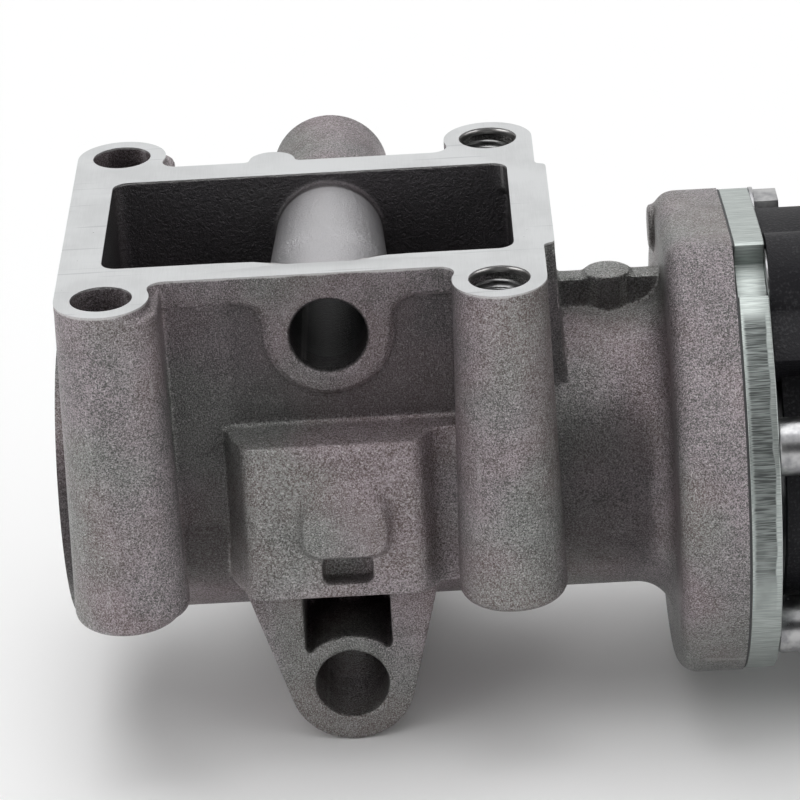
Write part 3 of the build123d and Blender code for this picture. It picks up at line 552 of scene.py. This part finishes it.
def bevelled_copy(node, name, width, segments=2):
    """Joined copy of a CAD node, its flat faces made whole and its edges broken by a width in mm."""
    piece = joined_copy(node, name)
    bpy.ops.object.mode_set(mode="EDIT")
    bpy.ops.mesh.select_all(action="SELECT")
    bpy.ops.mesh.dissolve_limited(angle_limit=math.radians(1))
    bpy.ops.object.mode_set(mode="OBJECT")
    modify(piece, "BEVEL", width=width * MM, segments=segments, limit_method="ANGLE",
           angle_limit=math.radians(35), miter_outer="MITER_ARC")
    shade_smooth(piece, 30)
    return piece


def zinc_plated():
    """Zinc plating: satin on the faces, and on the sheared edge streaks across it with a torn band."""
    drawn_low_z = (-16.0 * MM, 0.0)
    drawn_high_z = (26.0 * MM, 28.0 * MM)
    torn_start_x = (56.0 * MM, 56.5 * MM)
    torn_end_x = (58.9 * MM, 59.2 * MM)
    finish = Finish("zinc_plate", metallic=1.0, roughness=0.34)
    x, _, z = finish.split(finish.place)
    streak = finish.noise(0.15 * MM, 2, 0.6, stretch=(0.04, 1, 1))
    cloud = finish.noise(7 * MM, 3, 0.6)
    across = finish.split(finish.outward())[0]
    face_on = finish.step(finish.node("ShaderNodeMath", {"operation": "ABSOLUTE"}, {0: across}), 0.6, 0.8)
    drawn = (finish.step(z + (cloud - 0.5) * 20 * MM, *drawn_low_z)
             * (1 - finish.step(z, *drawn_high_z)))
    tear = (finish.step(x + (streak - 0.5) * 1.2 * MM, *torn_start_x)
            * (1 - finish.step(x + (cloud - 0.5) * 1.2 * MM, *torn_end_x)) * drawn * (1 - face_on))
    edge = finish.mix(finish.step(streak, 0.34, 0.66), (0.33, 0.36, 0.35), (0.52, 0.56, 0.54))
    edge = finish.mix(tear * finish.step(streak, 0.30, 0.62) * 0.9, edge, (0.055, 0.06, 0.06))
    flat = finish.mix(finish.step(cloud, 0.35, 0.65), (0.50, 0.54, 0.52), (0.62, 0.66, 0.64))
    finish.feed(Base_Color=finish.mix(face_on, edge, flat), Roughness=0.36 + cloud * 0.14 + tear * 0.2)
    finish.bump(streak * tear + finish.noise(0.3 * MM, 2) * 0.15, 0.05 * MM, 0.8)
    return finish.material


graphite = Finish("graphite", metallic=0.2, roughness=0.6)
graphite.feed(Base_Color=graphite.mix(graphite.noise(0.4 * MM, 2),
                                      (0.030, 0.030, 0.032), (0.085, 0.085, 0.088)))
gasket = bevelled_copy("flange_gasket", "gasket_sheet", 0.04)
gasket.data.materials.append(graphite.material)
show_as(gasket, "flange_gasket")

plate = bevelled_copy("base_plate", "adapter_plate", 0.25, segments=3)
plate.data.materials.append(zinc_plated())
show_as(plate, "base_plate")

# ---------------------------------------------------------------- fixings
# Rolled and bright zinc plated steel screws, turned stand-off sleeves between plate and solenoid, and a
# ground dowel that places the plate on the casting.
bright = Finish("bright_fixings", metallic=1.0, roughness=0.24)
cloud = bright.noise(2.5 * MM, 3, 0.6)
turning = bright.noise(0.16 * MM, 2, 0.5, stretch=(1, 0.02, 0.02))
bright.feed(Base_Color=bright.mix(bright.step(cloud, 0.35, 0.68), (0.26, 0.26, 0.27), (0.48, 0.48, 0.48)),
            Roughness=0.22 + cloud * 0.16)
bright.bump(turning, 0.008 * MM, 0.7)
for node, name, width in (("plate_bolts", "plate_bolt_set", 0.22), ("standoff_sleeves", "sleeve_set", 0.30),
                          ("solenoid_screws", "solenoid_screw_set", 0.20),
                          ("cover_screws", "cover_screw_set", 0.10)):
    fixing = bevelled_copy(node, name, width)
    fixing.data.materials.append(bright.material)
    show_as(fixing, node)
dress("locating_dowel", turned_metal("dowel_steel", (0.55, 0.55, 0.56), 0.2, ring=0.2))

# ---------------------------------------------------------------- solenoid inside
# Soft iron pole, yoke, lid and armature, turned and thinly plated; a drawn brass tube that the armature
# slides in; enamelled copper wire wound in even layers on a moulded bobbin.
wire_width = 0.6 * MM


def moulded(name, colour, roughness, grain=0.35, depth=0.05):
    """Moulded plastic with a spark eroded grain, its size and depth in mm."""
    finish = Finish(name, roughness=roughness)
    spark = finish.noise(grain * MM, 2, 0.55)
    cloud = finish.noise(9 * MM, 2, 0.5)
    pale = tuple(0.030 + c * 1.5 for c in colour)
    finish.feed(Base_Color=finish.mix(finish.step(cloud * 0.3 + spark * 0.7, 0.48, 0.72), colour, pale),
                Roughness=roughness - 0.08 + spark * 0.16)
    finish.shader.inputs["Specular IOR Level"].default_value = 0.24
    finish.bump(spark, depth * MM, 0.8)
    return finish.material


def wound_copper():
    """Turns of wire side by side along the valve axis, with dark gaps between."""
    finish = Finish("coil_copper", metallic=0.9, roughness=0.3)
    along = finish.split(finish.place)[0] * (math.tau / wire_width)
    wave = finish.node("ShaderNodeMath", {"operation": "SINE"}, {0: along}) * 0.5 + 0.5
    finish.feed(Base_Color=finish.mix(wave, (0.16, 0.05, 0.02), (0.66, 0.27, 0.13)))
    finish.bump(wave, 0.15 * MM, 0.9)
    return finish.material


dress("pole_piece", turned_metal("pole_iron", (0.50, 0.50, 0.51), 0.34, ring=0.35))
dress("yoke", turned_metal("yoke_iron", (0.40, 0.41, 0.43), 0.42, ring=0.5))
dress("yoke_lid", turned_metal("lid_iron", (0.42, 0.43, 0.45), 0.40, ring=0.5))
dress("armature", turned_metal("armature_iron", (0.54, 0.54, 0.55), 0.26, ring=0.2, depth=0.006))
dress("armature_tube", turned_metal("tube_brass", (0.72, 0.53, 0.25), 0.28, ring=0.3))
dress("coil_winding", wound_copper())
dress("coil_bobbin", moulded("bobbin_plastic", (0.40, 0.36, 0.28), 0.45))

# ---------------------------------------------------------------- solenoid housing and terminals
# Glass filled black nylon, moulded round the yoke with its spark eroded grain, and open at the top in a
# plug socket. Five tin plated blades, blanked and coined, stand in the socket.
housing = bevelled_copy("actuator_housing", "solenoid_housing", 0.30)
housing.data.materials.append(moulded("housing_plastic", (0.008, 0.0075, 0.010), 0.58,
                                      grain=0.42, depth=0.16))
show_as(housing, "actuator_housing")

tin = Finish("terminal_tin", metallic=1.0, roughness=0.25)
tin.feed(Base_Color=tin.mix(tin.step(tin.noise(1.2 * MM, 2), 0.35, 0.65),
                            (0.36, 0.35, 0.33), (0.55, 0.54, 0.51)))
pins = bevelled_copy("connector_pins", "terminal_blades", 0.08)
pins.data.materials.append(tin.material)
show_as(pins, "connector_pins")

# ---------------------------------------------------------------- sensor cap
# The cap is moulded in black plastic and held by three screws over a rubber seal. Under it sit a moulded
# position sensor and the plunger that follows the stem.
cover = bevelled_copy("sensor_cover", "sensor_cap", 0.25)
cover.data.materials.append(moulded("cap_plastic", (0.026, 0.026, 0.028), 0.42, grain=0.28, depth=0.06))
show_as(cover, "sensor_cover")
dress("cover_seal", moulded("seal_rubber", (0.014, 0.014, 0.014), 0.62, grain=0.2, depth=0.02))
dress("position_sensor", moulded("sensor_plastic", (0.030, 0.045, 0.040), 0.4, grain=0.4))
dress("sensor_plunger", moulded("plunger_plastic", (0.52, 0.50, 0.44), 0.35, grain=0.3, depth=0.02))
